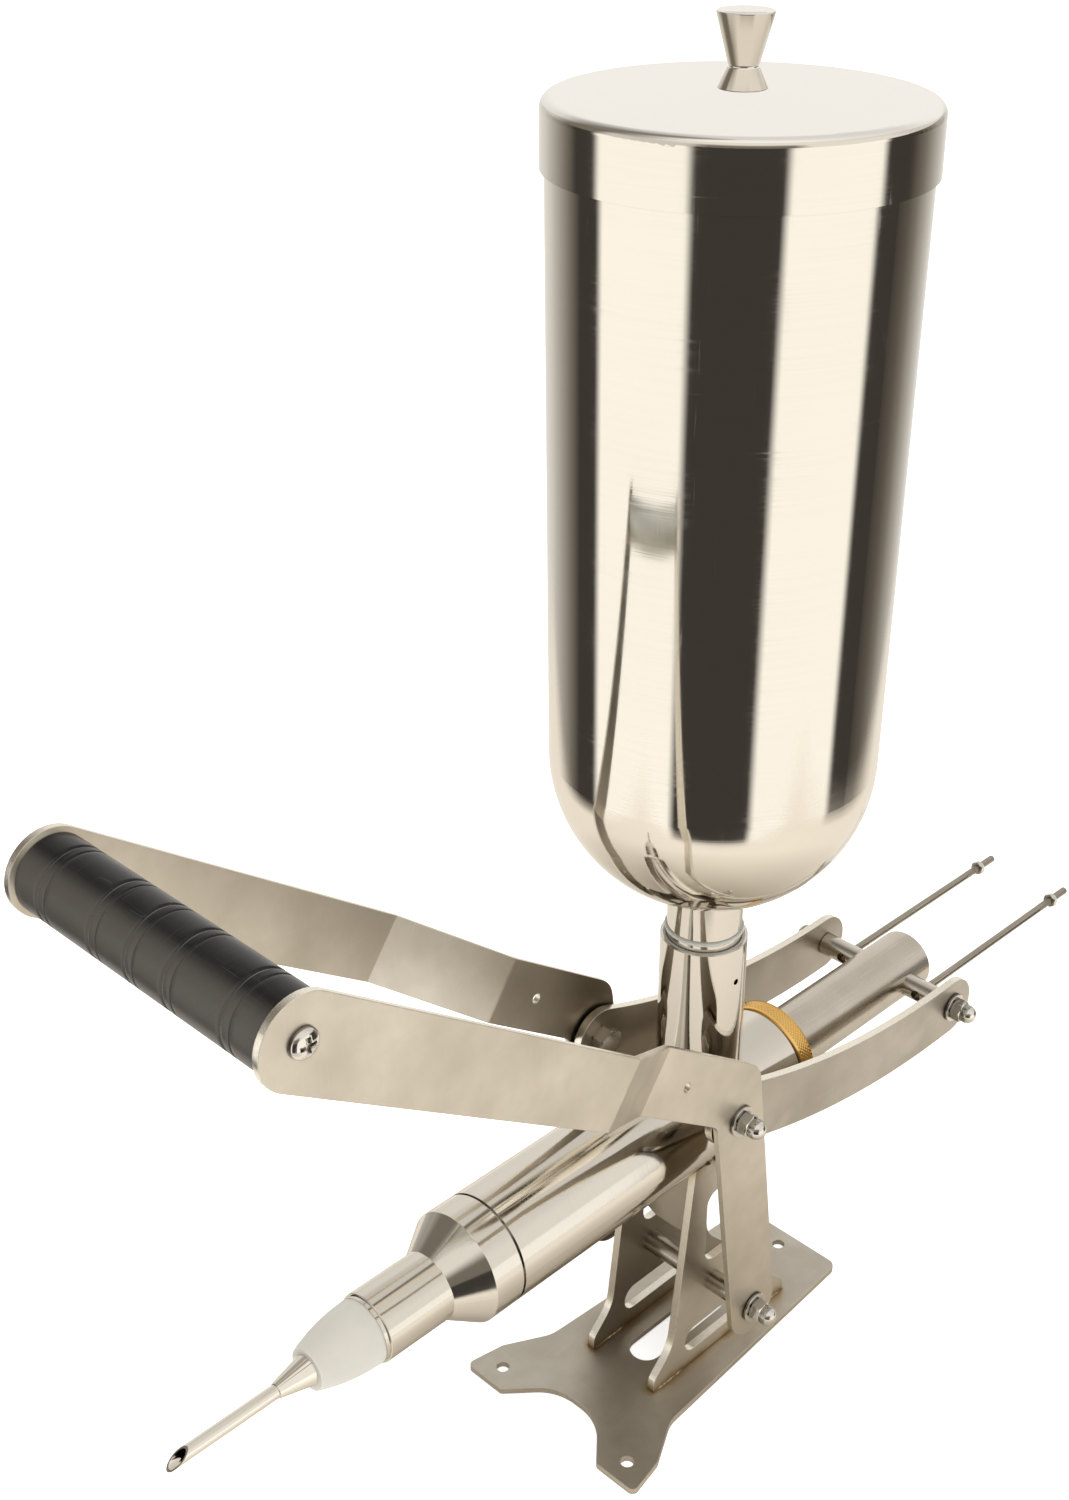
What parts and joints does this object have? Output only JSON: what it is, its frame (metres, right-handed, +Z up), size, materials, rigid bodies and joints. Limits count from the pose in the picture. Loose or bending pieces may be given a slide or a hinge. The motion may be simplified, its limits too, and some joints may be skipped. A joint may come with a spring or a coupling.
{
  "type": "donut filler machine",
  "caption": "Hand-operated filler: a tall lidded hopper over a piston barrel with a filling needle, worked by a forked lever and side links on a plate stand.",
  "frame": {"origin": "midway between the two front mounting holes, on the underside of the base plate", "axes": "+Z up, +Y toward the rear along the barrel, needle toward -Y, +X to the machine's left"},
  "size_m": [0.1532, 0.5997, 0.6461],
  "materials": {
    "plate_steel": "satin",
    "polished_steel": "polished",
    "turned_steel": "satin",
    "bright_fasteners": "polished",
    "brass": "satin",
    "clear_plastic": "matte",
    "silicone": "matte",
    "grip_plastic": "satin",
    "aluminium_rod": "satin"
  },
  "bodies": {
    "frame": {"base_plate": "plate_steel", "upright_left": "plate_steel", "upright_right": "plate_steel", "cross_web": "plate_steel", "pivot_cross_tube": "turned_steel", "pivot_spacers": "turned_steel", "pivot_rod": "bright_fasteners", "pivot_washers": "bright_fasteners", "pivot_acorn_nuts": "bright_fasteners", "barrel": "polished_steel", "receiver_tube": "polished_steel", "nose_cap": "polished_steel", "nose_gasket": "silicone", "gland_nut": "brass", "gland_seal": "silicone", "nozzle_cap": "clear_plastic", "nozzle_hub": "polished_steel", "needle": "polished_steel"},
    "lever": {"lever_arm_left": "plate_steel", "lever_arm_right": "plate_steel", "grip_core": "aluminium_rod", "grip_sleeve": "grip_plastic", "grip_screws": "bright_fasteners", "elbow_spacers": "bright_fasteners", "elbow_thread_ends": "bright_fasteners", "elbow_washers": "bright_fasteners", "elbow_acorn_nuts": "bright_fasteners"},
    "piston": {"piston_tube": "turned_steel", "piston_head": "clear_plastic", "piston_rings": "silicone", "stub_left": "turned_steel", "stub_right": "turned_steel", "stop_rods": "turned_steel", "rod_nuts": "bright_fasteners", "rear_studs": "bright_fasteners", "rear_washers": "bright_fasteners", "rear_acorn_nuts": "bright_fasteners"},
    "links": {"link_left": "plate_steel", "link_right": "plate_steel", "elbow_bolts": "bright_fasteners"},
    "hopper": {"hopper_shell": "polished_steel", "hopper_spigot": "polished_steel", "hopper_rings": "silicone"},
    "lid": {"lid_shell": "polished_steel", "lid_knob": "turned_steel", "knob_screw": "bright_fasteners"}
  },
  "joints": [
    {"name": "lever_pivot", "type": "hinge", "parent": "frame", "child": "lever", "pos_m": [0, 0.0824, 0.048], "axis": [1, 0, 0], "range_deg": [-6, 38]},
    {"name": "piston_slide", "type": "slide", "parent": "frame", "child": "piston", "axis": [0, -1, 0], "range_m": [-0.0114, 0.0714]},
    {"name": "link_swing", "type": "hinge", "parent": "piston", "child": "links", "pos_m": [0, 0.2424, 0.1407], "axis": [1, 0, 0], "range_deg": [-1.9, 10.9]},
    {"name": "hopper_lift", "type": "slide", "parent": "frame", "child": "hopper", "axis": [0, 0, 1], "range_m": [0, 0.08]},
    {"name": "lid_lift", "type": "slide", "parent": "hopper", "child": "lid", "axis": [0, 0, 1], "range_m": [0, 0.045]}
  ],
  "couplings": [
    {"joint": "piston_slide", "follows": "lever_pivot", "m_per_rad": 0.1075},
    {"joint": "link_swing", "follows": "lever_pivot", "ratio": 0.2775}
  ]
}
